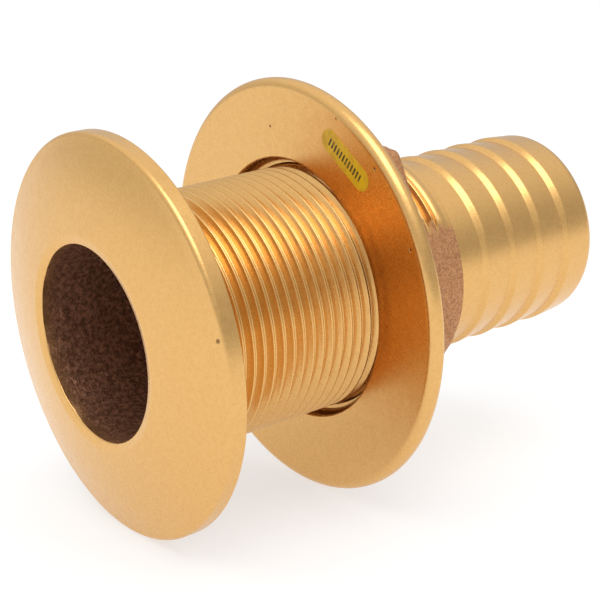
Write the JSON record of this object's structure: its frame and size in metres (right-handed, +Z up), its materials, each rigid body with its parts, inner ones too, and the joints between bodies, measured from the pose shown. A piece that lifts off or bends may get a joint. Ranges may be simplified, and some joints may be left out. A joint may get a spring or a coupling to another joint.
{
  "type": "thru hull fitting",
  "caption": "Bronze thru-hull fitting: mushroom head, threaded barrel and ridged hose tail in one casting, with a flanged hexagon nut that screws along the barrel to clamp the hull.",
  "frame": {"origin": "on the axis, at the plane of the mushroom head's hull-bearing face", "axes": "+X along the waterway from the water side to the hose end, +Z up, the barrel's cast wrench reliefs face -Y and +Y"},
  "size_m": [0.1107, 0.0826, 0.0826],
  "materials": {
    "machined_bronze": "satin machined",
    "cast_bronze": "machined face and rim, sand-cast hexagon",
    "label_vinyl": "satin"
  },
  "bodies": {
    "body": {"hull_body": "machined_bronze"},
    "nut_travel": {"nut_travel_ring": "cast_bronze"},
    "nut": {"flange_nut": "cast_bronze", "origin_label": "label_vinyl"}
  },
  "joints": [
    {"name": "nut_slide", "type": "slide", "parent": "body", "child": "nut_travel", "axis": [1, 0, 0], "range_m": [-0.0332, 0.0178]},
    {"name": "nut_turn", "type": "hinge", "parent": "nut_travel", "child": "nut", "pos_m": [0.0437, 0, 0], "axis": [1, 0, 0], "range_deg": [-5400, 2880]}
  ],
  "couplings": [
    {"joint": "nut_slide", "follows": "nut_turn", "m_per_rad": 0.00035153}
  ]
}
